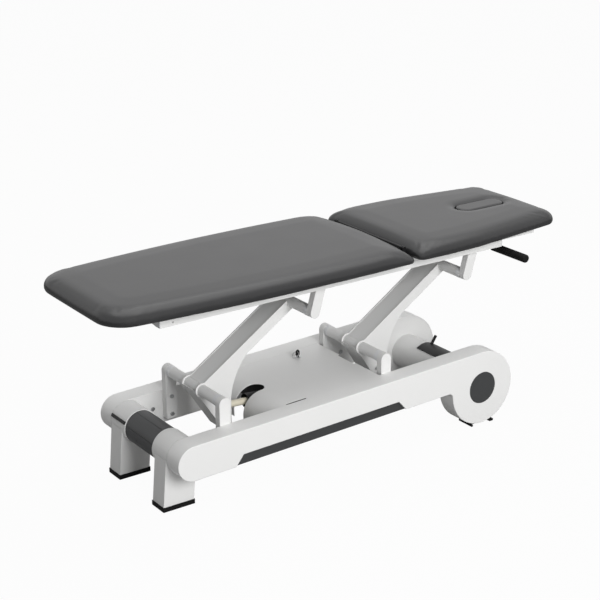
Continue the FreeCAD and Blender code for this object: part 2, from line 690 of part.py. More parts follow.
def key_switch():
    """Lock barrel through the tray, with a flange on top and a well for the key's plug."""
    top = TRAY_TOP + KEY_BARREL_RISE
    barrel = rod_z(KEY_X, KEY_Y, KEY_BARREL_R, TRAY_TOP - KEY_BARREL_DEEP, TRAY_TOP)
    flange = rod_z(KEY_X, KEY_Y, KEY_BARREL_R + KEY_FLANGE, TRAY_TOP, top)
    well = rod_z(KEY_X, KEY_Y, KEY_PLUG_R, top - KEY_PLUG_DEEP, top)
    return sloped(barrel.fuse(flange).cut(well))


def lock_key():
    """Key with a tall bow, standing on the lock's turning plug."""
    top = TRAY_TOP + KEY_BARREL_RISE
    half = KEY_BOW_THICK / 2
    bow_low = top + KEY_STEM
    bow_high = bow_low + KEY_BOW_LONG
    plug = rod_z(KEY_X, KEY_Y, KEY_PLUG_R - RUNNING_GAP, top - KEY_PLUG_DEEP + RUNNING_GAP, top)
    stem = box(KEY_X - KEY_BOW_R / 2, KEY_X + KEY_BOW_R / 2, KEY_Y - half, KEY_Y + half, top, bow_low)
    bow = strap(KEY_X, bow_low, KEY_X, bow_high, KEY_BOW_R, KEY_Y - half, KEY_Y + half)
    eye = rod_y(KEY_X, bow_high, KEY_EYE_R, KEY_Y - half, KEY_Y + half)
    return sloped(welded(plug, stem, bow).cut(eye))


def control_box():
    """Control unit under the tray on the far side, and its power supply across from it."""
    side = SIDE_INNER - LEDGE_WIDE - BOX_LEDGE_GAP
    foot = TRAY_FOOT_X + TRAY_BEND + BOX_FROM_BEND
    unit = box(foot, foot + BOX_LONG, side - BOX_WIDE, side, TRAY_UNDER - BOX_TALL, TRAY_UNDER)
    return both_sides(sloped(unit))


def foot_switch():
    """Rocking shell on the head-end tube with a toe rod standing out of it."""
    inner = HEAD_TUBE_R + SWITCH_GAP
    shell = sector(DRUM_X, DRUM_Z, inner, inner + SWITCH_WALL, *SWITCH_ANGLES, -SWITCH_HALF, SWITCH_HALF)
    foot = around(DRUM_X, DRUM_Z, inner + SWITCH_WALL / 2, SWITCH_ROD_ANGLE)
    lean = math.radians(SWITCH_ROD_LEAN)
    rod = Part.makeCylinder(SWITCH_ROD_R, SWITCH_ROD_LONG, V(foot[0], SWITCH_ROD_Y, foot[1]),
                            V(math.sin(lean), 0, math.cos(lean)))
    tip = max(rod.Edges, key=lambda edge: edge.BoundBox.ZMin)
    rod = rod.makeFillet(SWITCH_ROD_R / 3, [tip])
    room = rod_y(DRUM_X, DRUM_Z, inner, -SWITCH_HALF, SWITCH_HALF)
    return welded(shell, rod.cut(room))


def on_arm(pivot_x, run, lift):
    """Point given along an arm's pivot line and square to it."""
    return (pivot_x + run * math.cos(ARM_ANGLE) - lift * math.sin(ARM_ANGLE),
            LOWER_PIVOT_Z + run * math.sin(ARM_ANGLE) + lift * math.cos(ARM_ANGLE))


def arm_band(pivot_x, low, high, y0, y1):
    """Straight bar along an arm from pivot to pivot."""
    steps = [on_arm(pivot_x, ARM_LONG, low), on_arm(pivot_x, ARM_LONG, high),
             on_arm(pivot_x, 0, high), on_arm(pivot_x, 0, low)]
    return side_prism(on_arm(pivot_x, 0, low), steps, y0, y1)


def arm_plate(pivot_x):
    """Far-side cheek of a lift arm: ring, arm, gusset and crank in one plate."""
    y0, y1 = ARM_HALF - ARM_PLATE, ARM_HALF

    def off(run, drop):
        return (pivot_x + run, LOWER_PIVOT_Z - drop)

    corner, bite = CRANK_CORNER, CRANK_CORNER * (1 - math.sqrt(0.5))
    gusset_middle = (pivot_x + GUSSET_MIDDLE[0], LOWER_PIVOT_Z + GUSSET_MIDDLE[1])
    steps = [off(CRANK_TOE, CRANK_FOOT), off(CRANK_RIGHT - corner, CRANK_FOOT),
             (off(CRANK_RIGHT - bite, CRANK_FOOT - bite), off(CRANK_RIGHT, CRANK_FOOT - corner)),
             off(CRANK_RIGHT, GUSSET_LOW),
             (gusset_middle, on_arm(pivot_x, GUSSET_REACH, -ARM_BELOW)),
             on_arm(pivot_x, 0, 0), off(-ARM_RING_R, 0)]
    crank = side_prism(off(-ARM_RING_R, 0), steps, y0, y1)
    plate = welded(arm_band(pivot_x, -ARM_BELOW, ARM_ABOVE, y0, y1), crank,
                   rod_y(pivot_x, LOWER_PIVOT_Z, ARM_RING_R, y0, y1))
    for x, z, radius in ((pivot_x, LOWER_PIVOT_Z, LOWER_TUBE_R),
                         (pivot_x + ARM_RUN, UPPER_PIVOT_Z, UPPER_TUBE_R),
                         (pivot_x + CRANK_PIN_RUN, CRANK_PIN_Z, CRANK_PIN_R)):
        plate = plate.cut(rod_y(x, z, radius, y0, y1))
    return plate


def arm_box(pivot_x):
    """Box section between the two cheeks of a lift arm, coped to both tubes, and the crank's back plate."""
    half = ARM_HALF - ARM_PLATE
    top, bottom = ARM_ABOVE - ARM_WEB_DROP, ARM_WEB_DROP - ARM_BELOW
    section = arm_band(pivot_x, bottom, top, -half, half).cut(
        arm_band(pivot_x, bottom + ARM_WEB, top - ARM_WEB, ARM_WEB - half, half - ARM_WEB))
    section = section.cut(rod_y(pivot_x + ARM_RUN, UPPER_PIVOT_Z, UPPER_TUBE_R, -half, half))
    top_x, toe_x, toe_z = pivot_x - ARM_RING_R, pivot_x + CRANK_TOE, LOWER_PIVOT_Z - CRANK_FOOT
    steps = [(toe_x, toe_z), (toe_x + ARM_WEB, toe_z), (top_x + ARM_WEB, LOWER_PIVOT_Z),
             (top_x, LOWER_PIVOT_Z)]
    back = side_prism((top_x, LOWER_PIVOT_Z), steps, -half, half)
    room = rod_y(pivot_x, LOWER_PIVOT_Z, LOWER_TUBE_R, -half, half)
    return group(section.cut(room), back.cut(room))


def arm_nodes(name, pivot_x):
    """Cheeks, box, tubes and bushes of one lift arm."""
    bore = SHAFT_R + RUNNING_GAP
    nodes = {name + "_arm_plates": both_sides(arm_plate(pivot_x)), name + "_arm_box": arm_box(pivot_x)}
    ends = (("lower", pivot_x, LOWER_PIVOT_Z, LOWER_TUBE_R, POST_INNER),
            ("upper", pivot_x + ARM_RUN, UPPER_PIVOT_Z, UPPER_TUBE_R, BRACKET_INNER))
    bushes = []
    for place, x, z, radius, stop in ends:
        end = stop - BUSH_END_GAP
        half = end - BUSH_LONG
        nodes[name + "_arm_" + place + "_tube"] = tube_y(x, z, radius, bore, -half, half)
        bushes.append(tube_y(x, z, radius + BUSH_PROUD, bore, half, end))
    nodes[name + "_arm_bushes"] = both_sides(*bushes)
    return nodes


def along_actuator(shape):
    """Turns a piece that is drawn along -X from the rear pin into the actuator's line."""
    return turned(shape, ACTUATOR_REAR_X, ACTUATOR_REAR_Z, -ACTUATOR_TILT)


def actuator_tube():
    """Outer tube, closed at the gearbox and open towards the crank."""
    rear = ACTUATOR_REAR_X - GEARBOX_FROM_PIN
    mouth = rear - ACTUATOR_TUBE_LONG
    outer = rod_x(0, ACTUATOR_REAR_Z, ACTUATOR_BORE_R + ACTUATOR_WALL, mouth, rear)
    bore = rod_x(0, ACTUATOR_REAR_Z, ACTUATOR_BORE_R, mouth, rear - ACTUATOR_WALL)
    return along_actuator(outer.cut(bore))


def lift_motor():
    """Gearbox with its rear lug, and the motor standing off its side."""
    face = ACTUATOR_REAR_X - GEARBOX_FROM_PIN
    middle = face + GEARBOX_LONG / 2
    lug_half = LUG_WIDE / 2
    gearbox = box(face, face + GEARBOX_LONG, -GEARBOX_HALF, GEARBOX_HALF,
                  ACTUATOR_REAR_Z - GEARBOX_HALF, ACTUATOR_REAR_Z + GEARBOX_HALF)
    lug = strap(middle, ACTUATOR_REAR_Z, ACTUATOR_REAR_X, ACTUATOR_REAR_Z, LUG_R, -lug_half, lug_half)
    hole = rod_y(ACTUATOR_REAR_X, ACTUATOR_REAR_Z, CRANK_PIN_R + RUNNING_GAP, -lug_half, lug_half)
    gearbox = welded(gearbox, lug).cut(hole)
    motor = rod_y(middle, ACTUATOR_REAR_Z, MOTOR_R, GEARBOX_HALF, GEARBOX_HALF + MOTOR_LONG)
    return along_actuator(group(gearbox, motor))


def actuator_rod():
    """Lift rod with an eye on the crank pin."""
    x, z, half = ACTUATOR_REAR_X - ACTUATOR_LONG, ACTUATOR_REAR_Z, ROD_EYE_WIDE / 2
    rod = welded(rod_y(x, z, ROD_EYE_R, -half, half), rod_x(0, z, ACTUATOR_ROD_R, x, x + ACTUATOR_ROD_LONG))
    return along_actuator(rod.cut(rod_y(x, z, CRANK_PIN_R + RUNNING_GAP, -half, half)))


def actuator_bar():
    """Cross bar of the base with a clevis and pin for the actuator's rear lug."""
    bar_x = ACTUATOR_REAR_X + LUG_R + CLEVIS_GAP
    half = ACTUATOR_BAR_TALL / 2
    bar = tube_y_square(bar_x, bar_x + ACTUATOR_BAR_WIDE, SIDE_INNER,
                        ACTUATOR_REAR_Z - half, ACTUATOR_REAR_Z + half, ACTUATOR_BAR_WALL)
    y0 = LUG_WIDE / 2 + CLEVIS_GAP
    y1 = y0 + CLEVIS_THICK
    bar_middle = bar_x + ACTUATOR_BAR_WIDE / 2
    cheek = strap(ACTUATOR_REAR_X, ACTUATOR_REAR_Z, bar_middle, ACTUATOR_REAR_Z, LUG_R, y0, y1)
    pin = rod_y(ACTUATOR_REAR_X, ACTUATOR_REAR_Z, CRANK_PIN_R, -y1, y1)
    return welded(bar, cheek, mirrored(cheek), pin)


def hinge_ear(y0, below):
    """Far-side ear with a round top about the hinge rod and a leg down to below."""
    steps = [(HINGE_X + HINGE_EYE_R, below), (HINGE_X + HINGE_EYE_R, HINGE_Z),
             ((HINGE_X, HINGE_Z + HINGE_EYE_R), (HINGE_X - HINGE_EYE_R, HINGE_Z)),
             (HINGE_X - HINGE_EYE_R, below)]
    return side_prism((HINGE_X - HINGE_EYE_R, below), steps, y0, y0 + EAR_THICK)


def rail():
    """Far-side main rail, stepped down under the head frame."""
    steps = [(RAIL_JOINT_X, RAIL_BOTTOM), (RAIL_JOINT_X, RAIL_LOW_TOP), (RAIL_STEP_X, RAIL_LOW_TOP),
             (RAIL_STEP_X, CUSHION_BOTTOM), (RAIL_FOOT_X, CUSHION_BOTTOM), (RAIL_FOOT_X, RAIL_BOTTOM)]
    tube = side_prism((RAIL_FOOT_X, RAIL_BOTTOM), steps, RAIL_INNER_Y, RAIL_OUTER_Y)
    y0, y1 = RAIL_INNER_Y + RAIL_WALL, RAIL_OUTER_Y - RAIL_WALL
    low = RAIL_BOTTOM + RAIL_WALL
    tube = tube.cut(box(RAIL_FOOT_X, RAIL_STEP_X - RAIL_WALL, y0, y1, low, CUSHION_BOTTOM - RAIL_WALL))
    tube = tube.cut(box(RAIL_FOOT_X, RAIL_JOINT_X, y0, y1, low, RAIL_LOW_TOP - RAIL_WALL))
    return tube.cut(rod_y(RAIL_FOOT_X + RAIL_HOLE_FROM_END, (RAIL_BOTTOM + RAIL_LOW_TOP) / 2, RAIL_HOLE_R,
                          y1, RAIL_OUTER_Y))


def hinge_rod():
    """Hinge rod welded between the two ears that stand on the rails."""
    half = FRAME_EAR_Y + EAR_THICK
    ear = hinge_ear(FRAME_EAR_Y, RAIL_LOW_TOP)
    return welded(rod_y(HINGE_X, HINGE_Z, HINGE_ROD_R, -half, half), ear, mirrored(ear))


def rail_extension():
    """Far-side tube that carries the rail on to the head end."""
    return tube_x_square(RAIL_JOINT_X, RAIL_HEAD_X, RAIL_INNER_Y, RAIL_OUTER_Y, RAIL_BOTTOM, RAIL_LOW_TOP,
                         RAIL_WALL)


def rail_plugs():
    """Far-side plastic plugs in the two open ends of a rail."""
    y0, y1 = RAIL_INNER_Y + RAIL_WALL, RAIL_OUTER_Y - RAIL_WALL
    low = RAIL_BOTTOM + RAIL_WALL
    foot = box(RAIL_FOOT_X - PLUG_FLANGE, RAIL_FOOT_X, RAIL_INNER_Y, RAIL_OUTER_Y,
               RAIL_BOTTOM, CUSHION_BOTTOM)
    foot_core = box(RAIL_FOOT_X, RAIL_FOOT_X + PLUG_DEEP, y0, y1, low, CUSHION_BOTTOM - RAIL_WALL)
    head = box(RAIL_HEAD_X, RAIL_HEAD_X + PLUG_FLANGE, RAIL_INNER_Y, RAIL_OUTER_Y, RAIL_BOTTOM, RAIL_LOW_TOP)
    head_core = box(RAIL_HEAD_X - PLUG_DEEP, RAIL_HEAD_X, y0, y1, low, RAIL_LOW_TOP - RAIL_WALL)
    return welded(foot, foot_core), welded(head, head_core)


def frame_cross_tubes():
    """Cross tubes between the rails at the foot end and over the hanging brackets."""
    starts = [RAIL_FOOT_X] + [x + BRACKET_SHIFT - CROSS_WIDE / 2 for x in UPPER_XS]
    return group(*(tube_y_square(x, x + CROSS_WIDE, RAIL_INNER_Y, RAIL_BOTTOM, RAIL_LOW_TOP, RAIL_WALL)
                   for x in starts))


def bracket(pivot_x):
    """Far-side hanging bracket: leans to the head end, round at the bottom, bored for the shaft."""
    half = BRACKET_WIDE / 2
    down = -90.0 - BRACKET_LEAN
    left = around(pivot_x, UPPER_PIVOT_Z, half, down - 90)
    right = around(pivot_x, UPPER_PIVOT_Z, half, down + 90)
    slant = math.tan(math.radians(BRACKET_LEAN))
    steps = [(around(pivot_x, UPPER_PIVOT_Z, half, down), right),
             (right[0] + (RAIL_BOTTOM - right[1]) * slant, RAIL_BOTTOM),
             (left[0] + (RAIL_BOTTOM - left[1]) * slant, RAIL_BOTTOM), left]
    hanger = side_prism(left, steps, BRACKET_INNER, SIDE_INNER)
    return hanger.cut(rod_y(pivot_x, UPPER_PIVOT_Z, SHAFT_R, BRACKET_INNER, SHAFT_HALF))


def handle_lug():
    """Far-side lug under the head frame with the pin that the handle's arm swings on."""
    y0 = HANDLE_ARM_Y + HANDLE_ARM_THICK + HANDLE_LUG_GAP
    y1 = y0 + HANDLE_ARM_THICK
    left, right = HANDLE_PIVOT_X - HANDLE_ARM_R, HANDLE_PIVOT_X + HANDLE_ARM_R
    steps = [(right, HEAD_BAR_BOTTOM), (left, HEAD_BAR_BOTTOM), (left, HANDLE_PIVOT_Z),
             ((HANDLE_PIVOT_X, HANDLE_PIVOT_Z - HANDLE_ARM_R), (right, HANDLE_PIVOT_Z))]
    lug = side_prism((right, HANDLE_PIVOT_Z), steps, y0, y1)
    return welded(lug, rod_y(HANDLE_PIVOT_X, HANDLE_PIVOT_Z, HANDLE_PIN_R, HANDLE_ARM_Y, y1))


def head_frame():
    """Side bars and cross bars under the head cushion."""
    inner_y = RAIL_OUTER_Y - HEAD_BAR_WIDE
    side = tube_x_square(HEAD_BAR_X, HEAD_BAR_END_X, inner_y, RAIL_OUTER_Y, HEAD_BAR_BOTTOM, CUSHION_BOTTOM,
                         HEAD_BAR_WALL)
    starts = (HEAD_BAR_X, HANDLE_PIVOT_X - HEAD_BAR_WIDE / 2, HEAD_BAR_END_X - HEAD_BAR_WIDE)
    cross = [tube_y_square(x, x + HEAD_BAR_WIDE, inner_y, HEAD_BAR_BOTTOM, CUSHION_BOTTOM, HEAD_BAR_WALL)
             for x in starts]
    return group(side, mirrored(side), *cross)


def release_handle():
    """Cross bar on two arms that swing on the pins under the head frame."""
    end = HANDLE_HALF - HANDLE_R
    y0, y1 = HANDLE_ARM_Y, HANDLE_ARM_Y + HANDLE_ARM_THICK
    arm = strap(HANDLE_X, HANDLE_Z, HANDLE_PIVOT_X, HANDLE_PIVOT_Z, HANDLE_ARM_R, y0, y1)
    arm = arm.cut(rod_y(HANDLE_PIVOT_X, HANDLE_PIVOT_Z, HANDLE_PIN_R + RUNNING_GAP, y0, y1))
    return welded(rod_y(HANDLE_X, HANDLE_Z, HANDLE_R, -end, end), arm, mirrored(arm))


def handle_grip():
    """Far-side grip over the end of the handle's bar, rounded at its tip."""
    start = HANDLE_ARM_Y + GRIP_FROM_ARM
    grip = rod_y(HANDLE_X, HANDLE_Z, GRIP_R, start, HANDLE_HALF)
    grip = grip.makeFillet(GRIP_R / 3, rim_edges(grip, "Y", HANDLE_HALF))
    return grip.cut(rod_y(HANDLE_X, HANDLE_Z, HANDLE_R, start, HANDLE_HALF - HANDLE_R))


def head_ear():
    """Far-side ear that runs on the hinge rod and reaches back to the head frame."""
    y1 = HEAD_EAR_Y + EAR_THICK
    ear = welded(hinge_ear(HEAD_EAR_Y, HEAD_BAR_BOTTOM),
                 box(HINGE_X, HEAD_BAR_X, HEAD_EAR_Y, y1, HEAD_BAR_BOTTOM, CUSHION_BOTTOM - HEAD_BAR_GAP))
    return ear.cut(rod_y(HINGE_X, HINGE_Z, HINGE_ROD_R + RUNNING_GAP, HEAD_EAR_Y, y1))


def spring_crank():
    """Two cheeks on the head frame with the pin that draws the gas spring's rod."""
    y0 = SPRING_EYE_WIDE / 2 + CLEVIS_GAP
    y1 = y0 + SPRING_CHEEK
    middle = HEAD_BAR_BOTTOM + SPRING_EYE_R
    cheek = strap(SPRING_PIN_X, SPRING_PIN_Z, HEAD_BAR_X - SPRING_EYE_R, middle, SPRING_EYE_R, y0, y1)
    tail = box(HEAD_BAR_X - 2 * SPRING_EYE_R, HEAD_BAR_X, y0, y1, HEAD_BAR_BOTTOM, middle + SPRING_EYE_R)
    pin = rod_y(SPRING_PIN_X, SPRING_PIN_Z, SPRING_PIN_R, -y1, y1)
    far = welded(cheek, tail)
    return welded(far, mirrored(far), pin)


def spring_rod():
    """Gas spring rod with its eye, lying level along X."""
    half = SPRING_EYE_WIDE / 2
    rod = welded(rod_y(SPRING_PIN_X, SPRING_PIN_Z, SPRING_EYE_R, -half, half),
                 rod_x(0, SPRING_PIN_Z, SPRING_ROD_R, SPRING_PIN_X - SPRING_ROD_LONG, SPRING_PIN_X))
    return rod.cut(rod_y(SPRING_PIN_X, SPRING_PIN_Z, SPRING_PIN_R + RUNNING_GAP, -half, half))


def spring_cylinder():
    """Gas spring body, open at the head end, on a plate against the cross tube behind it."""
    outer = SPRING_BORE_R + SPRING_WALL
    plate_x = SPRING_REAR_X + SPRING_PLATE
    mouth = SPRING_REAR_X + SPRING_REACH
    body = rod_x(0, SPRING_PIN_Z, outer, plate_x, mouth)
    plate = box(SPRING_REAR_X, plate_x, -outer, outer, RAIL_BOTTOM, SPRING_PIN_Z + outer)
    return welded(body, plate).cut(rod_x(0, SPRING_PIN_Z, SPRING_BORE_R, plate_x, mouth))


# A cushion's plan: where its ends are, its corners' sizes in X and Y, and half-widths down one side
FOOT_PLAN = {"ends": (FOOT_END_X, FOOT_HINGE_X),
             "corners": ((FOOT_CORNER, FOOT_CORNER), (HINGE_CORNER, HINGE_CORNER)),
             "halves": (FOOT_END_HALF, FOOT_HINGE_HALF),
             "side": [(FOOT_WIDEST_X, FOOT_WIDEST_HALF)]}
HEAD_PLAN = {"ends": (HEAD_HINGE_X, HEAD_END_X),
             "corners": ((HINGE_CORNER, HINGE_CORNER), (HEAD_CORNER_LONG, HEAD_CORNER_WIDE)),
             "halves": (HEAD_HINGE_HALF, HEAD_END_HALF),
             "side": [(HEAD_TAPER_X, HEAD_TAPER_HALF), (HEAD_SHOULDER_X, HEAD_SHOULDER_HALF),
                      (HEAD_WIDEST_X, HEAD_WIDEST_HALF)]}
# Height as a share of the rise, and how far the side is drawn in there
CUSHION_SIDE = ((0.0, 9.0), (0.06, 4.0), (0.16, 1.0), (0.30, 0.0), (0.46, 2.0), (0.62, 6.5),
                (0.76, 13.5), (0.87, 23.0), (0.95, 36.0), (1.0, 58.0))


def corner_points(end_x, inward, half, size, inset):
    """Start, middle and end of a corner's arc, from the cushion's end round to its side."""
    bite = 1 - math.sqrt(0.5)
    long, wide = (max(value - inset / 2, value / 3) for value in size)
    x, y = end_x + inward * inset, half - inset
    return [(x, y - wide), (x + inward * long * bite, y - wide * bite), (x + inward * long, y)]


def cushion_wire(plan, inset, z):
    """Plan of a cushion drawn in by inset: straight ends, round corners and bowed sides."""
    foot = corner_points(plan["ends"][0], 1, plan["halves"][0], plan["corners"][0], inset)
    head = corner_points(plan["ends"][1], -1, plan["halves"][1], plan["corners"][1], inset)
    side = [(x, half - inset) for x, half in plan["side"]]
    far = head + side + foot[::-1]
    near = [(x, -y) for x, y in reversed(far)]
    steps = [(far[index], far[index + 1]) for index in range(1, len(far), 2)]
    steps.append(near[0])
    steps += [(near[index], near[index + 1]) for index in range(1, len(near), 2)]
    steps.append(far[0])
    return flat_wire(lambda x, y: V(x, y, z), far[0], steps)


def board(plan, inset, z1):
    """Flat panel of a cushion's plan, from the cushion's underside up to z1."""
    return Part.Face(cushion_wire(plan, inset, CUSHION_BOTTOM)).extrude(V(0, 0, z1 - CUSHION_BOTTOM))


def cushion(plan):
    """Upholstered pad with drawn-in sides and a crown, over a pocket for its board."""
    sections = [cushion_wire(plan, inset, CUSHION_BOTTOM + share * CUSHION_RISE)
                for share, inset in CUSHION_SIDE]
    sections.append(cushion_wire(plan, CROWN_INSET, CUSHION_TOP))
    pad = Part.makeLoft(sections, True, True)
    return pad.cut(board(plan, BOARD_INSET - BOARD_GAP, BOARD_TOP))


def nose_plug():
    """Padded plug that fills the nose slot, a little sunk, and stands on the board's ledge."""
    top = CUSHION_TOP - NOSE_SUNK
    plug = slot_prism(NOSE_X, NOSE_LONG - 2 * NOSE_GAP, NOSE_WIDE - 2 * NOSE_GAP, BOARD_TOP, top)
    return plug.makeFillet(NOSE_EDGE, rim_edges(plug, "Z", top))


def shafts(xs, z):
    """Pivot shafts that end inside the posts or brackets."""
    return group(*(rod_y(x, z, SHAFT_R, -SHAFT_HALF, SHAFT_HALF) for x in xs))


def base_nodes():
    cover, plate, housing = side_cover(), side_plate(), foot_housing()
    tube_bore = HEAD_TUBE_R - HEAD_TUBE_WALL
    return {
        "side_cover_far": cover,
        "side_cover_near": mirrored(cover),
        "side_plate_far": plate,
        "side_plate_near": mirrored(plate),
        "trim_strips": both_sides(trim_strip()),
        "hub_caps": both_sides(sloped(hub_cap())),
        "foot_cross_tube": foot_cross_tube(),
        "foot_housing_far": housing,
        "foot_housing_near": mirrored(housing),
        "foot_legs": both_sides(foot_leg()),
        "rubber_feet": rubber_feet(),
        "end_cover_panel": end_cover(0),
        "end_cover_lower": end_cover(1),
        "end_cover_top": end_cover(2),
        "cable_cover": cable_cover(),
        "head_cross_tube": tube_y(DRUM_X, DRUM_Z, HEAD_TUBE_R, tube_bore, -SIDE_INNER, SIDE_INNER),
        "foot_switch": foot_switch(),
        "pivot_posts": both_sides(*(post(x) for x in LOWER_XS)),
        "socket_screws": socket_screws(),
        "lower_shafts": shafts(LOWER_XS, LOWER_PIVOT_Z),
        "tray_cover": tray(),
        "key_switch": key_switch(),
        "lock_key": lock_key(),
        "control_box": control_box(),
        "actuator_bar": actuator_bar(),
    }


def lift_nodes():
    nodes = {}
    for name, pivot_x in zip(("foot", "head"), LOWER_XS):
        nodes.update(arm_nodes(name, pivot_x))
    nodes["crank_pin"] = rod_y(CRANK_PIN_X, CRANK_PIN_Z, CRANK_PIN_R, -ARM_HALF, ARM_HALF)
    nodes["actuator_tube"] = actuator_tube()
    nodes["lift_motor"] = lift_motor()
    nodes["actuator_rod"] = actuator_rod()
    return nodes


def upper_nodes():
    far_rail = rail()
    slot = slot_prism(NOSE_X, NOSE_LONG, NOSE_WIDE, CUSHION_BOTTOM, CUSHION_TOP)
    hole = slot_prism(NOSE_X, NOSE_LONG - 2 * NOSE_LEDGE, NOSE_WIDE - 2 * NOSE_LEDGE,
                      CUSHION_BOTTOM, BOARD_TOP)
    return {
        "rail_far": far_rail,
        "rail_near": mirrored(far_rail),
        "rail_extensions": both_sides(rail_extension()),
        "rail_end_plugs": both_sides(*rail_plugs()),
        "frame_cross_tubes": frame_cross_tubes(),
        "hanging_brackets": both_sides(*(bracket(x) for x in UPPER_XS)),
        "upper_shafts": shafts(UPPER_XS, UPPER_PIVOT_Z),
        "hinge_rod": hinge_rod(),
        "gas_spring_cylinder": spring_cylinder(),
        "gas_spring_rod": spring_rod(),
        "foot_board": board(FOOT_PLAN, BOARD_INSET, BOARD_TOP),
        "foot_cushion": cushion(FOOT_PLAN),
        "head_frame": head_frame(),
        "handle_lugs": both_sides(handle_lug()),
        "head_hinge_ears": both_sides(head_ear()),
        "gas_spring_crank": spring_crank(),
        "head_board": board(HEAD_PLAN, BOARD_INSET, BOARD_TOP).cut(hole),
        "head_cushion": cushion(HEAD_PLAN).cut(slot),
        "nose_plug": nose_plug(),
        "release_handle": release_handle(),
        "handle_grips": both_sides(handle_grip()),
    }


def main():
    os.makedirs("parts", exist_ok=True)
    nodes = {**base_nodes(), **lift_nodes(), **upper_nodes()}
    for name, shape in nodes.items():
        shape.exportStep("parts/" + name + ".step")
        print(name, len(shape.Solids), "solids", round(shape.Volume / 1000, 1), "cm3, valid", shape.isValid())
    print(len(nodes), "nodes")


main()
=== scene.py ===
# %% [markdown]
# # A treatment couch, dressed for its picture
# The couch arrives as an imported frame: sixty rigid nodes in metres, each freed from its parent and kept
# in its place in the world. The frame could be rebuilt by hand in Blender, but then its pivots would drift
# from the mechanism's own. So the frame stays as it is, and this lesson adds only what the eye
# needs: finishes, upholstery, a key ring, light, a floor and a camera.

import json
import math

import bpy
import numpy as np
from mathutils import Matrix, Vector


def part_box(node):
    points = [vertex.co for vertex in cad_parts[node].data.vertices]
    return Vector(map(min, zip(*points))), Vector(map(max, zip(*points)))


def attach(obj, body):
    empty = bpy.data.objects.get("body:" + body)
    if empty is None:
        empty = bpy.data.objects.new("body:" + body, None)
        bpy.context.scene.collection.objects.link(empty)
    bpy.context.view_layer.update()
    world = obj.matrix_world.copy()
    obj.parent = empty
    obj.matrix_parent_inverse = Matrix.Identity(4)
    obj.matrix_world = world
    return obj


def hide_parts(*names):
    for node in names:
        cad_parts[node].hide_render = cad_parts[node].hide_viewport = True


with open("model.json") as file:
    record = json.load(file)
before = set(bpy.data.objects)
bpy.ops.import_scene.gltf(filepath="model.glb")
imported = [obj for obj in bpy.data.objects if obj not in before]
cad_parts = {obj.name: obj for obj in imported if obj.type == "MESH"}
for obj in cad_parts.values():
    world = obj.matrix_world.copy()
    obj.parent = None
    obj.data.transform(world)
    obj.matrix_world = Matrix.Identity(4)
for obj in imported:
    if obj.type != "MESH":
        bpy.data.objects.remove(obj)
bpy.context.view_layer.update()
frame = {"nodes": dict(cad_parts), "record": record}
nodes = frame["nodes"]
record = frame["record"]
bpy.context.scene.view_settings.view_transform = "Standard"

# %% [markdown]
# ## Colours and nodes
# Paint charts and screens give colours as sRGB hex codes, while Blender's shaders reckon in linear light.
# One function turns a code into the linear numbers a shader wants. A second one adds a shader node, sets
# its values and links its inputs; every finish below is built with it, so each one reads as a short list
# of what it is made of. A third turns a real size in millimetres into the scale of a pattern.

# %% Helpers for every finish
def paint(code):
    """Linear colour of an sRGB hex code, with full alpha."""
    parts = [int(code[i:i + 2], 16) / 255 for i in (1, 3, 5)]
    return [v / 12.92 if v <= 0.04045 else ((v + 0.055) / 1.055) ** 2.4 for v in parts] + [1.0]


def add(tree, kind, settings, links=()):
    """Adds one shader node, sets its sockets or options, and links its inputs."""
    made = tree.nodes.new(kind)
    for name, value in settings.items():
        if isinstance(name, int) or name in made.inputs:
            made.inputs[name].default_value = value
        else:
            setattr(made, name, value)
    for name, source in dict(links).items():
        tree.links.new(source, made.inputs[name])
    return made


def per_metre(size_mm):
    """Pattern scale for features of that many millimetres, on coordinates in metres."""
    return 1000.0 / size_mm


print("mid grey", [round(v, 3) for v in paint("#777777")])

# %% [markdown]
# ## A surface with a grain
# Most of this couch is plastic or coated steel. Such a surface has one colour, but never perfectly: it
# drifts a little over a hand's width, its gloss drifts with it, and a fine grain catches the light. An
# image texture could hold that, but it would need unwrapped meshes. Noise patterns in object coordinates
# do the same on any node, at a scale given in real millimetres. Paint and moulded plastic have no knife
# edges either, so the shading is rounded over a radius of about a millimetre, which leaves the node's own
# mesh alone.

# %% One recipe for grained surfaces
EDGE_MM = 1.4


def grained(name, colour, deep, roughness, grain_mm, depth_mm, drift_mm, settings):
    """Material whose colour and gloss drift over drift_mm, with a grain of grain_mm by depth_mm."""
    material = bpy.data.materials.new(name)
    material.use_nodes = True
    tree = material.node_tree
    shader = tree.nodes["Principled BSDF"]
    for socket, value in settings.items():
        shader.inputs[socket].default_value = value
    place = add(tree, "ShaderNodeTexCoord", {}).outputs["Object"]
    drift = add(tree, "ShaderNodeTexNoise", {"Scale": per_metre(drift_mm), "Detail": 3.0}, {"Vector": place})
    tint = add(tree, "ShaderNodeMix", {"data_type": "RGBA"}, {"Factor": drift.outputs["Fac"]})
    tint.inputs["A"].default_value = paint(deep)
    tint.inputs["B"].default_value = paint(colour)
    tree.links.new(tint.outputs["Result"], shader.inputs["Base Color"])
    gloss = add(tree, "ShaderNodeMapRange", {"To Min": roughness[0], "To Max": roughness[1]},
                {"Value": drift.outputs["Fac"]})
    tree.links.new(gloss.outputs["Result"], shader.inputs["Roughness"])
    pebbles = add(tree, "ShaderNodeTexVoronoi", {"feature": "SMOOTH_F1", "Scale": per_metre(grain_mm)},
                  {"Vector": place})
    edges = add(tree, "ShaderNodeBevel", {"samples": 6, "Radius": EDGE_MM / 1000})
    bump = add(tree, "ShaderNodeBump", {"Strength": 0.5, "Distance": depth_mm / 1000},
               {"Height": pebbles.outputs["Distance"], "Normal": edges.outputs["Normal"]})
    tree.links.new(bump.outputs["Normal"], shader.inputs["Normal"])
    return material


finishes = {}
print("recipe ready for", len(record["materials"]), "finishes")

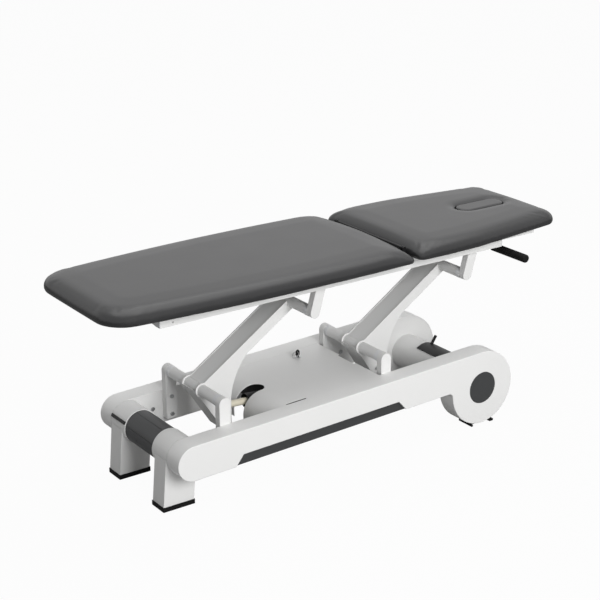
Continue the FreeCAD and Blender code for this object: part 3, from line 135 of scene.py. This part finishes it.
# %% [markdown]
# ## Coated cloth for the cushions
# The cushions wear polyurethane-coated cloth, calendered smooth and embossed with a pebble about a
# millimetre wide. It is charcoal, nearly black head-on, and its satin coat mirrors the bright room at a
# low angle, which is why the tops look grey and the sides dark. The pebble is drawn at 2.4 mm, because a
# true one would be finer than a pixel.

# %% Charcoal coated cloth
finishes["vinyl_charcoal"] = grained(
    "pu_coated_cloth_charcoal", "#252526", "#212122", roughness=(0.32, 0.38),
    grain_mm=2.4, depth_mm=0.05, drift_mm=160.0, settings={"IOR": 1.5})
print(finishes["vinyl_charcoal"].name)

# %% [markdown]
# ## White covers and white steel
# The beams' covers are moulded ABS with a satin, spark-eroded skin. The arms, posts, rails, legs and tray
# are steel under a powder coat, which flows out to a faint orange peel of 2 or 3 mm. Both are white and
# both are dielectrics, so only the grain and the gloss tell them apart.

# %% ABS and powder coat
finishes["cover_white"] = grained(
    "abs_satin_white", "#e6e6e5", "#e1e1e0", roughness=(0.38, 0.46),
    grain_mm=1.2, depth_mm=0.03, drift_mm=300.0, settings={"IOR": 1.54})
finishes["paint_white"] = grained(
    "powder_coat_white", "#e5e5e4", "#dfdfde", roughness=(0.34, 0.44),
    grain_mm=2.6, depth_mm=0.05, drift_mm=180.0, settings={"IOR": 1.5})
finishes["steel_plate"] = grained(
    "powder_coat_plate", "#e4e4e3", "#dededd", roughness=(0.40, 0.50),
    grain_mm=2.6, depth_mm=0.05, drift_mm=180.0, settings={"IOR": 1.5})
print([finishes[slot].name for slot in ("cover_white", "paint_white", "steel_plate")])

# %% [markdown]
# ## Dark trim, rubber and small plastic parts
# The trim strips, hub discs and end covers are dark grey ABS with a leather-like mould grain. The feet
# and hand grips are black rubber, which scatters light and shows almost no gloss. Bushes are acetal, a
# waxy off-white plastic, the actuator's rod is ivory, and its tube is black nylon.

# %% Dark and small parts
finishes["trim_dark"] = grained(
    "abs_grained_dark", "#38393a", "#323334", roughness=(0.48, 0.58),
    grain_mm=1.5, depth_mm=0.06, drift_mm=90.0, settings={"IOR": 1.54})
finishes["rubber_black"] = grained(
    "moulded_rubber_black", "#1a1a1a", "#141414", roughness=(0.66, 0.80),
    grain_mm=1.2, depth_mm=0.08, drift_mm=40.0, settings={"IOR": 1.52, "Specular IOR Level": 0.15})
finishes["switch_black"] = grained(
    "nylon_moulded_black", "#1e1e1f", "#181819", roughness=(0.45, 0.55),
    grain_mm=1.0, depth_mm=0.04, drift_mm=40.0, settings={"IOR": 1.53, "Specular IOR Level": 0.3})
finishes["handle_black"] = grained(
    "powder_coat_black", "#1b1b1c", "#151516", roughness=(0.40, 0.50),
    grain_mm=2.6, depth_mm=0.05, drift_mm=60.0, settings={"IOR": 1.5, "Specular IOR Level": 0.3})
finishes["actuator_ivory"] = grained(
    "acetal_ivory", "#dcd6c4", "#d3ccb8", roughness=(0.30, 0.38),
    grain_mm=1.0, depth_mm=0.02, drift_mm=60.0, settings={"IOR": 1.48})
finishes["bush_grey"] = grained(
    "acetal_pale", "#e6e7e8", "#dcdddf", roughness=(0.28, 0.36),
    grain_mm=1.0, depth_mm=0.02, drift_mm=40.0, settings={"IOR": 1.48})
print(len(finishes), "finishes so far")

# %% [markdown]
# ## Bright steel and plywood
# The shafts and screws are turned steel: a metal, so its colour is in the reflection and its IOR stays at
# the default. The lathe leaves rings, drawn here as noise squeezed along the shaft's direction, which is
# Y. The boards under the cushions are plywood under a thin black lacquer, seen only from below, and a
# long straight grain along X still shows through.

# %% Turned steel
RING_STEP_MM = 1.0
RING_LENGTH_MM = 20.0

steel = bpy.data.materials.new("turned_steel")
steel.use_nodes = True
tree = steel.node_tree
shader = tree.nodes["Principled BSDF"]
shader.inputs["Metallic"].default_value = 1.0
shader.inputs["Base Color"].default_value = paint("#c6c7c8")
place = add(tree, "ShaderNodeTexCoord", {}).outputs["Object"]
round_it, along_it = per_metre(RING_LENGTH_MM), per_metre(RING_STEP_MM)
rings = add(tree, "ShaderNodeMapping", {"Scale": (round_it, along_it, round_it)}, {"Vector": place})
marks = add(tree, "ShaderNodeTexNoise", {"Scale": 1.0, "Detail": 4.0}, {"Vector": rings.outputs["Vector"]})
gloss = add(tree, "ShaderNodeMapRange", {"To Min": 0.22, "To Max": 0.38}, {"Value": marks.outputs["Fac"]})
tree.links.new(gloss.outputs["Result"], shader.inputs["Roughness"])
finishes["steel_bright"] = steel
print(steel.name)

# %% Black lacquered plywood
FIBRE_LENGTH_MM = 260.0
FIBRE_WIDTH_MM = 9.0

ply = bpy.data.materials.new("plywood_black_lacquer")
ply.use_nodes = True
tree = ply.node_tree
shader = tree.nodes["Principled BSDF"]
shader.inputs["IOR"].default_value = 1.45
shader.inputs["Roughness"].default_value = 0.62
place = add(tree, "ShaderNodeTexCoord", {}).outputs["Object"]
lengthwise, crosswise = per_metre(FIBRE_LENGTH_MM), per_metre(FIBRE_WIDTH_MM)
fibres = add(tree, "ShaderNodeMapping", {"Scale": (lengthwise, crosswise, crosswise)}, {"Vector": place})
grain = add(tree, "ShaderNodeTexNoise", {"Scale": 1.0, "Detail": 6.0, "Distortion": 0.6},
            {"Vector": fibres.outputs["Vector"]})
tone = add(tree, "ShaderNodeMix", {"data_type": "RGBA"}, {"Factor": grain.outputs["Fac"]})
tone.inputs["A"].default_value = paint("#1f1e1d")
tone.inputs["B"].default_value = paint("#2e2c2a")
tree.links.new(tone.outputs["Result"], shader.inputs["Base Color"])
finishes["board_black"] = ply
print(ply.name)

# %% [markdown]
# ## Dress every node
# The record names a finish for each node. They could be set one by one, but then a node that is renamed
# would go bare without a word, so one loop over the record dresses the whole frame.

# %% Assign the finishes
for part in record["subparts"]:
    mesh = nodes[part["node"]].data
    mesh.materials.clear()
    mesh.materials.append(finishes[part["material_slot"]])
print("dressed", len(record["subparts"]), "nodes")

# %% [markdown]
# ## Upholstery
# Each cushion is foam on a board, with coated cloth pulled over it and stapled underneath. The packed
# solid has the right plan and height, but a solid can't swell. So the cushion is made again: its shape is
# remeshed into even quads, drawn in a little, and blown up as cloth with a small pressure while its
# underside is held. A cap on the travel keeps it inside the size of the real pad, and a light smoothing
# settles the cloth.

# %% Remesh a node and reach its points
def remeshed(node, name, voxel_mm):
    """Copy of a node's mesh as even quads."""
    piece = bpy.data.objects.new(name, nodes[node].data.copy())
    bpy.context.scene.collection.objects.link(piece)
    even = piece.modifiers.new("even", "REMESH")
    even.mode = "VOXEL"
    even.voxel_size = voxel_mm / 1000
    even.use_smooth_shade = True
    graph = bpy.context.evaluated_depsgraph_get()
    mesh = bpy.data.meshes.new_from_object(piece.evaluated_get(graph))
    piece.modifiers.clear()
    piece.data = mesh
    return piece


def points_of(mesh):
    """Places of a mesh's points, one row for each."""
    flat = np.zeros(len(mesh.vertices) * 3, np.float32)
    mesh.vertices.foreach_get("co", flat)
    return flat.reshape(-1, 3).astype(float)


def normals_of(mesh):
    """Outward directions at a mesh's points, one row for each."""
    flat = np.zeros(len(mesh.vertices) * 3, np.float32)
    mesh.vertex_normals.foreach_get("vector", flat)
    return flat.reshape(-1, 3).astype(float)


def set_points(mesh, points):
    """Moves a mesh's points to new places."""
    mesh.vertices.foreach_set("co", points.astype(np.float32).ravel())
    mesh.update()


print("cushion helpers ready")

# %% Cloth, pressure and a cap on the travel
CLOTH_FRAMES = 10
CLOTH_MASS = 0.3
CLOTH_STRETCH = 15.0
CLOTH_BENDING = 4.0
CLOTH_PRESSURE = 4.0
LEAST_TRAVEL = 1e-9


def blown(piece, held_below, drawn_in, cap):
    """Draws a closed mesh in, then lets pressure swell it as cloth, moving no point further than cap."""
    mesh = piece.data
    held = piece.vertex_groups.new(name="held")
    start = points_of(mesh)
    low = start[:, 2] < held_below
    held.add([int(i) for i in np.flatnonzero(low)], 1.0, "REPLACE")
    start[~low] -= drawn_in * normals_of(mesh)[~low]
    set_points(mesh, start)
    cloth = piece.modifiers.new("cloth", "CLOTH")
    cloth.settings.vertex_group_mass = "held"
    cloth.settings.mass = CLOTH_MASS
    cloth.settings.tension_stiffness = CLOTH_STRETCH
    cloth.settings.compression_stiffness = CLOTH_STRETCH
    cloth.settings.bending_stiffness = CLOTH_BENDING
    cloth.settings.use_pressure = True
    cloth.settings.uniform_pressure_force = CLOTH_PRESSURE
    cloth.settings.effector_weights.gravity = 0.0
    cloth.collision_settings.use_collision = False
    cloth.point_cache.frame_end = CLOTH_FRAMES
    scene = bpy.context.scene
    for step in range(1, CLOTH_FRAMES + 1):
        scene.frame_set(step)
    graph = bpy.context.evaluated_depsgraph_get()
    moved = points_of(piece.evaluated_get(graph).data)
    scene.frame_set(1)
    piece.modifiers.clear()
    piece.vertex_groups.clear()
    travel = moved - start
    length = np.linalg.norm(travel, axis=1, keepdims=True)
    set_points(mesh, start + travel * np.minimum(1.0, cap / np.maximum(length, LEAST_TRAVEL)))
    return float(length.max())


print("cloth step of", CLOTH_FRAMES, "frames ready")

# %% [markdown]
# The three padded pieces go through the same steps. The foot and head cushions are held by their stapled
# underside; the plug for the nose slot is a small firm pad. Round the slot the cloth is pulled through
# the foam and stapled, so it dips towards the rim, and at the hinge corners it is pulled tight, so the
# tops slope down to them. A smoothing modifier takes the last of the remesh's steps away, and one
# subdivision gives the cloth its even curve.

# %% Draw the cloth down round the nose slot
NOSE_DIP = 0.007
NOSE_DIP_REACH = 0.050
DIP_FROM_HEIGHT = 0.770

plug_low, plug_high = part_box("nose_plug")
slot_middle = [(low + high) / 2 for low, high in zip(plug_low, plug_high)]
slot_radius = (plug_high[1] - plug_low[1]) / 2
slot_straight = (plug_high[0] - plug_low[0]) / 2 - slot_radius
cushion_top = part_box("head_cushion")[1][2]


def dipped(piece):
    """Lowers the cloth near the nose slot, most at the slot's rim, and leaves the underside alone."""
    points = points_of(piece.data)
    along = np.maximum(np.abs(points[:, 0] - slot_middle[0]) - slot_straight, 0.0)
    away = np.hypot(along, points[:, 1] - slot_middle[1]) - slot_radius
    near = np.clip(1.0 - away / NOSE_DIP_REACH, 0.0, 1.0)
    high = np.clip((points[:, 2] - DIP_FROM_HEIGHT) / (cushion_top - DIP_FROM_HEIGHT), 0.0, 1.0)
    points[:, 2] -= NOSE_DIP * near ** 2 * high
    set_points(piece.data, points)


print("slot", round(2 * (slot_straight + slot_radius), 3), "by", round(2 * slot_radius, 3), "metres")

# %% Draw the cushions down at the hinge corners
CORNER_DROPS = {"foot_cushion": 0.038, "head_cushion": 0.018}
DROP_REACH = 0.125

hinge_low, hinge_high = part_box("hinge_rod")
hinge_x = (hinge_low[0] + hinge_high[0]) / 2


def dropped(piece, node):
    """Lowers a cushion's top towards its two corners at the hinge, and leaves the underside alone."""
    low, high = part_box(node)
    hinge_end = min(low[0], high[0], key=lambda end: abs(end - hinge_x))
    points = points_of(piece.data)
    along = np.clip(1.0 - np.abs(points[:, 0] - hinge_end) / DROP_REACH, 0.0, 1.0)
    across = points[:, 1] / high[1]
    height = np.clip((points[:, 2] - low[2]) / (high[2] - low[2]), 0.0, 1.0)
    points[:, 2] -= CORNER_DROPS[node] * along ** 2 * across ** 2 * height
    set_points(piece.data, points)


print("hinge corners drop by", [round(drop * 1000) for drop in CORNER_DROPS.values()], "mm")

# %% Make the padded pieces
SETTLE_FACTOR = 0.5
CUSHION_HELD_BELOW = 0.7425
PLUG_HELD_BELOW = 0.7540


def upholster(node, body, voxel_mm, held_below, drawn_in, cap, soften):
    """Cover of one padded node: remeshed, blown up, settled and smoothed."""
    piece = remeshed(node, node + "_cover", voxel_mm)
    swell = blown(piece, held_below, drawn_in, cap)
    if node == "head_cushion":
        dipped(piece)
    if node in CORNER_DROPS:
        dropped(piece, node)
    smooth = piece.modifiers.new("settle", "SMOOTH")
    smooth.factor = SETTLE_FACTOR
    smooth.iterations = soften
    curve = piece.modifiers.new("curve", "SUBSURF")
    curve.levels = 1
    curve.render_levels = 1
    piece.data.materials.clear()
    piece.data.materials.append(finishes["vinyl_charcoal"])
    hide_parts(node)
    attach(piece, body)
    print(node, len(piece.data.vertices), "points, swelled", round(swell * 1000, 1), "mm")


upholster("foot_cushion", "upper_frame", voxel_mm=6.0, held_below=CUSHION_HELD_BELOW,
          drawn_in=0.0015, cap=0.0025, soften=10)
upholster("head_cushion", "head_section", voxel_mm=5.5, held_below=CUSHION_HELD_BELOW,
          drawn_in=0.0015, cap=0.0025, soften=8)
upholster("nose_plug", "nose_plug", voxel_mm=3.0, held_below=PLUG_HELD_BELOW,
          drawn_in=0.001, cap=0.001, soften=6)

# %% [markdown]
# ## Key ring
# A split ring of spring wire hangs in the eye of the lock's key and leans down to the tray. A plain torus
# would look like a washer, so the wire is wound twice round, as a real split ring is: its middle line is
# a short helix, and a small round section is carried along it.

# %% Wind a split ring
EYE_BELOW_TOP = 0.0085
EYE_ABOVE_TRAY = 0.0205
RING_RADIUS = 0.0145
WIRE_RADIUS = 0.0009
RING_TURNS = 2
STEPS_PER_TURN = 40
WIRE_SIDES = 8

key_low, key_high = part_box("lock_key")
eye = Vector(((key_low[0] + key_high[0]) / 2, (key_low[1] + key_high[1]) / 2, key_high[2] - EYE_BELOW_TOP))
dip = math.asin(EYE_ABOVE_TRAY / (2 * RING_RADIUS))
away = Vector((-math.cos(dip), 0.0, -math.sin(dip)))
across = Vector((0.0, 1.0, 0.0))
upward = away.cross(across)
points, faces = [], []
count = RING_TURNS * STEPS_PER_TURN
for step in range(count + 1):
    turn = 2 * math.pi * step / STEPS_PER_TURN
    spoke = -away * math.cos(turn) + across * math.sin(turn)
    climb = (step / count - 0.5) * RING_TURNS * 2 * WIRE_RADIUS
    middle = eye + away * RING_RADIUS + spoke * RING_RADIUS + upward * climb
    for side in range(WIRE_SIDES):
        angle = 2 * math.pi * side / WIRE_SIDES
        points.append(middle + (spoke * math.cos(angle) + upward * math.sin(angle)) * WIRE_RADIUS)
for step in range(count):
    for side in range(WIRE_SIDES):
        here, after = step * WIRE_SIDES, (step + 1) * WIRE_SIDES
        beside = (side + 1) % WIRE_SIDES
        faces.append((here + side, here + beside, after + beside, after + side))
faces.append(tuple(range(WIRE_SIDES))[::-1])
faces.append(tuple(count * WIRE_SIDES + side for side in range(WIRE_SIDES)))
ring_mesh = bpy.data.meshes.new("key_ring")
ring_mesh.from_pydata([tuple(point) for point in points], [], faces)
ring_mesh.polygons.foreach_set("use_smooth", [True] * len(faces))
ring_mesh.materials.append(finishes["steel_bright"])
key_ring = bpy.data.objects.new("key_ring", ring_mesh)
bpy.context.scene.collection.objects.link(key_ring)
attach(key_ring, "lock_key")
print("key ring", len(points), "points, dips", round(math.degrees(dip)), "degrees")

# %% [markdown]
# ## Light, floor and background
# The picture is a product shot: white all round, a broad soft light from the near side, and a weaker one
# from above, so the near faces are the brightest and the tops are a shade greyer. The overhead lamp also
# mirrors in the cushions' rounded shoulders, as a real soft box does, and the near one doesn't, because
# it would draw a bright band along their sides. A world colour fills the shadows. Camera and glossy rays
# see plain white in the world, and the floor mixes a little of its own shaded colour into white, so it
# keeps the couch's shadow.

# %% World
FILL_STRENGTH = 0.35
WHITE = (1.0, 1.0, 1.0, 1.0)

world = bpy.data.worlds.new("studio")
bpy.context.scene.world = world
world.use_nodes = True
tree = world.node_tree
fill_light = tree.nodes["Background"]
fill_light.inputs["Color"].default_value = WHITE
fill_light.inputs["Strength"].default_value = FILL_STRENGTH
white = add(tree, "ShaderNodeBackground", {"Color": WHITE, "Strength": 1.0})
rays = add(tree, "ShaderNodeLightPath", {})
seen = add(tree, "ShaderNodeMath", {"operation": "MAXIMUM"},
           {0: rays.outputs["Is Camera Ray"], 1: rays.outputs["Is Glossy Ray"]})
choice = add(tree, "ShaderNodeMixShader", {}, {"Fac": seen.outputs["Value"]})
tree.links.new(fill_light.outputs["Background"], choice.inputs[1])
tree.links.new(white.outputs["Background"], choice.inputs[2])
tree.links.new(choice.outputs["Shader"], tree.nodes["World Output"].inputs["Surface"])
print("world fill", FILL_STRENGTH)

# %% Floor
FLOOR_WIDTH = 80.0
FLOOR_GLOW = 0.965

bpy.ops.mesh.primitive_plane_add(size=FLOOR_WIDTH, location=(0.0, 0.0, 0.0))
floor = bpy.context.object
floor.name = "floor"
pale = bpy.data.materials.new("pale_floor")
pale.use_nodes = True
tree = pale.node_tree
tree.nodes.clear()
shade = add(tree, "ShaderNodeBsdfDiffuse", {"Color": paint("#a0a0a0")})
glow = add(tree, "ShaderNodeEmission", {"Color": WHITE, "Strength": 1.0})
rays = add(tree, "ShaderNodeLightPath", {})
amount = add(tree, "ShaderNodeMath", {"operation": "MULTIPLY", 1: FLOOR_GLOW},
             {0: rays.outputs["Is Camera Ray"]})
mixed = add(tree, "ShaderNodeMixShader", {}, {"Fac": amount.outputs["Value"]})
tree.links.new(shade.outputs["BSDF"], mixed.inputs[1])
tree.links.new(glow.outputs["Emission"], mixed.inputs[2])
add(tree, "ShaderNodeOutputMaterial", {}, {"Surface": mixed.outputs["Shader"]})
floor.data.materials.append(pale)
print("floor", FLOOR_WIDTH, "m wide")

# %% Lamps
LIT_POINT = Vector((0.0, 0.0, 0.5))


def soft_lamp(name, place, size, watts, mirrored):
    """Square area lamp that looks at the couch's middle, and whether glossy surfaces mirror it."""
    lamp = bpy.data.lights.new(name, "AREA")
    lamp.size = size
    lamp.energy = watts
    holder = bpy.data.objects.new(name, lamp)
    bpy.context.scene.collection.objects.link(holder)
    holder.visible_glossy = mirrored
    holder.location = place
    holder.rotation_euler = (LIT_POINT - Vector(place)).to_track_quat("-Z", "Y").to_euler()


soft_lamp("near_side", (-0.5, -5.7, 2.9), size=3.0, watts=300.0, mirrored=False)
soft_lamp("overhead", (0.9, 0.3, 5.4), size=5.6, watts=180.0, mirrored=True)
print(len(bpy.data.lights), "lamps")

# %% [markdown]
# ## Camera
# The picture was taken from the foot end on the near side, well above the cushions, with a long lens. Its
# place was worked out from the straight edges of the rails and beams, and the small shift puts the couch
# where it lies in the frame.

# %% Camera at the picture's viewpoint
SENSOR_MM = 36.0
LENS_MM = 92.81
SHIFT_RIGHT = -0.0429
SHIFT_UP = 0.0038
VIEWPOINT = (-3.1249, -4.4129, 2.5311)
TILT_DEGREES = 69.9
TURN_DEGREES = -35.73
SIGHT_METRES = 200.0

lens = bpy.data.cameras.new("viewpoint")
lens.sensor_width = SENSOR_MM
lens.lens = LENS_MM
lens.shift_x = SHIFT_RIGHT
lens.shift_y = SHIFT_UP
lens.clip_end = SIGHT_METRES
camera = bpy.data.objects.new("viewpoint", lens)
bpy.context.scene.collection.objects.link(camera)
camera.location = VIEWPOINT
camera.rotation_euler = (math.radians(TILT_DEGREES), 0.0, math.radians(TURN_DEGREES))
bpy.context.scene.camera = camera
print("camera at", VIEWPOINT)
